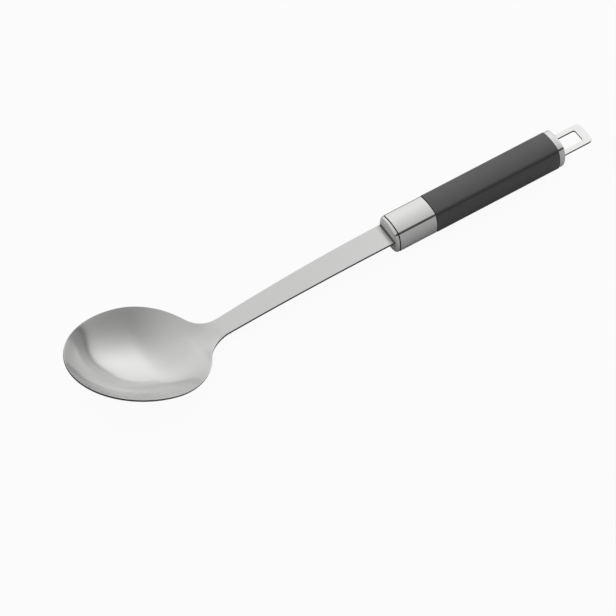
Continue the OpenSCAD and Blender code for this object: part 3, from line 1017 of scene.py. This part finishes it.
def loop_plate():
    """The loop's plate, with broken edges."""
    outline = loop_outline()
    count = len(outline)
    points = [at(x, y, z) for z in (-LOOP_T / 2, LOOP_T / 2) for x, y in outline]
    faces = [tuple(range(count))[::-1], tuple(range(count, 2 * count))]
    faces += [(i, (i + 1) % count, count + (i + 1) % count, count + i) for i in range(count)]
    plate = new_piece("hanging_loop_polished", points, faces)
    bevel = plate.modifiers.new("broken edges", "BEVEL")
    bevel.width = EDGE_BREAK * MM
    bevel.segments = 3
    bevel.limit_method = "ANGLE"
    bevel.angle_limit = math.radians(40)
    freeze(plate)
    # The loop's cut edge takes painted shade.
    note_painted_shade(plate, shade_on_cut_edge)
    return plate


hanging_loop = loop_plate()
finish_piece(hanging_loop, "hanging_loop", painted_lighter_steel)

# %% [markdown]
# ## The table and the white room
#
# The spoon lies on a plain table, painted a very pale grey, in a white room. Under soft light such
# paint photographs darker than it is, so most of its tone is given as a steady white glow to the rays
# that look at it directly. The rest is ordinary paint, which keeps the spoon's soft shadow. Rays that
# reach the table by way of a mirror get part of that glow too, but only well behind the spoon: near
# it lies its own shade, and in front of it the photographer's. Seen from below the table is left out,
# so that the underside can be looked at too.

# %% Table
TABLE_SIZE = 6.0
CAMERA_GLOW = 0.94
MIRROR_GLOW = 0.45
SHADE_NEAR = 25 * MM
SHADE_FAR = 90 * MM
TABLE_GAP = 0.02 * MM


def table_paint():
    """Pale paint that keeps a shadow, and glows white for rays that look at it."""
    material, tree = new_material("pale_table_paint")
    ray = add(tree, "ShaderNodeLightPath").outputs
    mirror = add(tree, "ShaderNodeMath", ray["Is Glossy Ray"], ray["Is Transmission Ray"],
                 operation="MAXIMUM")
    place = add(tree, "ShaderNodeTexCoord").outputs["Object"]
    behind = add(tree, "ShaderNodeSeparateXYZ", place).outputs["Y"]
    lit = add(tree, "ShaderNodeMapRange", behind, SHADE_NEAR, SHADE_FAR, 0.0, MIRROR_GLOW,
              interpolation_type="SMOOTHSTEP")
    share = add(tree, "ShaderNodeMath", mirror, lit, operation="MULTIPLY")
    share = add(tree, "ShaderNodeMath", ray["Is Camera Ray"], CAMERA_GLOW, share,
                operation="MULTIPLY_ADD")
    matt = add(tree, "ShaderNodeBsdfDiffuse", paint("#dcdcdc"))
    glow = add(tree, "ShaderNodeEmission", paint("#ffffff"), 1.0)
    top = add(tree, "ShaderNodeMixShader", share, matt, glow)
    below = add(tree, "ShaderNodeNewGeometry").outputs["Backfacing"]
    clear = add(tree, "ShaderNodeBsdfTransparent")
    add(tree, "ShaderNodeOutputMaterial", add(tree, "ShaderNodeMixShader", below, top, clear))
    return material


half = TABLE_SIZE / 2
table_z = cad_low.z - TABLE_GAP
table = new_piece("table", [(-half, -half, table_z), (half, -half, table_z),
                            (half, half, table_z), (-half, half, table_z)], [(0, 1, 2, 3)])
table.data.materials.append(table_paint())
print("a table of", TABLE_SIZE, "m, just under the spoon")


# %% Room
def white_room():
    """A plain white room: what any view sees past the table."""
    world = bpy.data.worlds.new("white_room")
    world.use_nodes = True
    tree = world.node_tree
    tree.nodes.clear()
    add(tree, "ShaderNodeOutputWorld", add(tree, "ShaderNodeBackground", paint("#ffffff"), 1.0))
    return world


bpy.context.scene.world = white_room()
print("the world is now", bpy.context.scene.world.name)

# %% [markdown]
# ## The light tent
#
# Polished metal shows what stands around it, so it is lit with surfaces and not with bulbs. Here the
# spoon and the table stand in a tent of white cloth, as a shop photographer would use. A window
# stands to the right, behind the handle, and the wall at the back is pale. A weaker fill stands at the
# left, the roof is dimmer, and the photographer's side is nearly dark low down. Each of these is a
# soft glow round one direction, and the cloth shows their sum. Under the window runs a thin dark gap:
# it is what draws the fine dark streak at the left end of the bright spot in the bowl. No lamp is
# needed, and the camera never sees the cloth.

# %% The tent's lights
WINDOW = {"azimuth": 77, "height": 22, "level": 0.66, "fall": 11.0}
BACK_WALL = {"azimuth": 21, "height": 13, "level": 0.74, "fall": 5.0}
FILL = {"azimuth": -80, "height": 32, "level": 0.3, "fall": 5.0}
LOWEST = 0.05
ROOF = 0.43
ROOF_FALL = 1.33
GAP_LOW = (0.11, 0.16)
GAP_HIGH = (0.17, 0.22)
BELOW_GAP = 0.5
print("the window stands at", WINDOW["azimuth"], "degrees, the fill at", FILL["azimuth"])


# %% The tent's cloth
def glow(tree, side, azimuth, height, level, fall):
    """A soft glow on the cloth round one direction, given in degrees from +Y and from the table."""
    turn, rise = math.radians(azimuth), math.radians(height)
    middle = (math.sin(turn) * math.cos(rise), math.cos(turn) * math.cos(rise), math.sin(rise))
    near = add(tree, "ShaderNodeVectorMath", side, middle, operation="DOT_PRODUCT").outputs["Value"]
    near = add(tree, "ShaderNodeMapRange", near, -1.0, 1.0, 0.0, 1.0)
    near = add(tree, "ShaderNodeMath", near, fall, operation="POWER")
    return add(tree, "ShaderNodeMath", near, level, operation="MULTIPLY")


def tent_cloth():
    """Glowing cloth: a window over a dark gap, a fill, a pale back wall and a dimmer roof."""
    material, tree = new_material("light_tent_cloth")
    place = add(tree, "ShaderNodeTexCoord").outputs["Object"]
    side = add(tree, "ShaderNodeVectorMath", place, operation="NORMALIZE")
    height = add(tree, "ShaderNodeSeparateXYZ", side).outputs["Z"]
    height = add(tree, "ShaderNodeMath", height, 0.0, operation="MAXIMUM")
    below = add(tree, "ShaderNodeMapRange", height, *GAP_LOW, BELOW_GAP, 0.0,
                interpolation_type="SMOOTHSTEP")
    above = add(tree, "ShaderNodeMapRange", height, *GAP_HIGH, 0.0, 1.0,
                interpolation_type="SMOOTHSTEP")
    gap = add(tree, "ShaderNodeMath", below, above, operation="ADD")
    roof = add(tree, "ShaderNodeMath", height, ROOF_FALL, operation="POWER")
    roof = add(tree, "ShaderNodeMath", roof, ROOF, LOWEST, operation="MULTIPLY_ADD")
    level = add(tree, "ShaderNodeMath", roof, glow(tree, side, **BACK_WALL), operation="ADD")
    level = add(tree, "ShaderNodeMath", glow(tree, side, **FILL), level, operation="ADD")
    level = add(tree, "ShaderNodeMath", glow(tree, side, **WINDOW), gap, level,
                operation="MULTIPLY_ADD")
    add(tree, "ShaderNodeOutputMaterial",
        add(tree, "ShaderNodeEmission", paint("#ffffff"), level))
    return material


cloth = tent_cloth()
print("made", cloth.name)

# %% The tent
TENT_R = 4.0


def light_tent():
    """A ball of cloth round the table, which no camera sees."""
    ball = bmesh.new()
    bmesh.ops.create_icosphere(ball, subdivisions=3, radius=TENT_R)
    bmesh.ops.reverse_faces(ball, faces=ball.faces)
    mesh = bpy.data.meshes.new("light_tent")
    ball.to_mesh(mesh)
    ball.free()
    mesh.materials.append(cloth)
    tent = bpy.data.objects.new("light_tent", mesh)
    bpy.context.scene.collection.objects.link(tent)
    tent.visible_camera = False
    return tent


light_tent()
print("a tent of", TENT_R, "m radius")

# %% [markdown]
# ## The camera
#
# The photograph looks down at about 54 degrees from the bowl's side, through a long lens, so lines
# that are parallel on the spoon stay nearly parallel in the picture. The camera is turned a little
# about its own axis, as a hand or a tripod head leaves it.

# %% Camera
AIM = Vector((-22.86, -3.94, -12.21)) * MM
DISTANCE = 1.7756
AZIMUTH = math.radians(-26.76)
ELEVATION = math.radians(53.77)
ROLL = math.radians(-5.57)
LENS = 181.96
SENSOR = 36.0

back = Vector((math.sin(AZIMUTH) * math.cos(ELEVATION), -math.cos(AZIMUTH) * math.cos(ELEVATION),
               math.sin(ELEVATION)))
camera = bpy.data.objects.new("camera", bpy.data.cameras.new("camera"))
bpy.context.scene.collection.objects.link(camera)
camera.data.lens = LENS
camera.data.sensor_width = SENSOR
camera.data.clip_start = 0.05
camera.data.clip_end = 20.0
camera.location = AIM + back * DISTANCE
camera.rotation_mode = "QUATERNION"
camera.rotation_quaternion = (-back).to_track_quat("-Z", "Y") @ Quaternion((0, 0, 1), ROLL)
bpy.context.scene.camera = camera
bpy.context.scene.view_settings.view_transform = "Standard"
print("camera at", [round(v, 3) for v in camera.location])
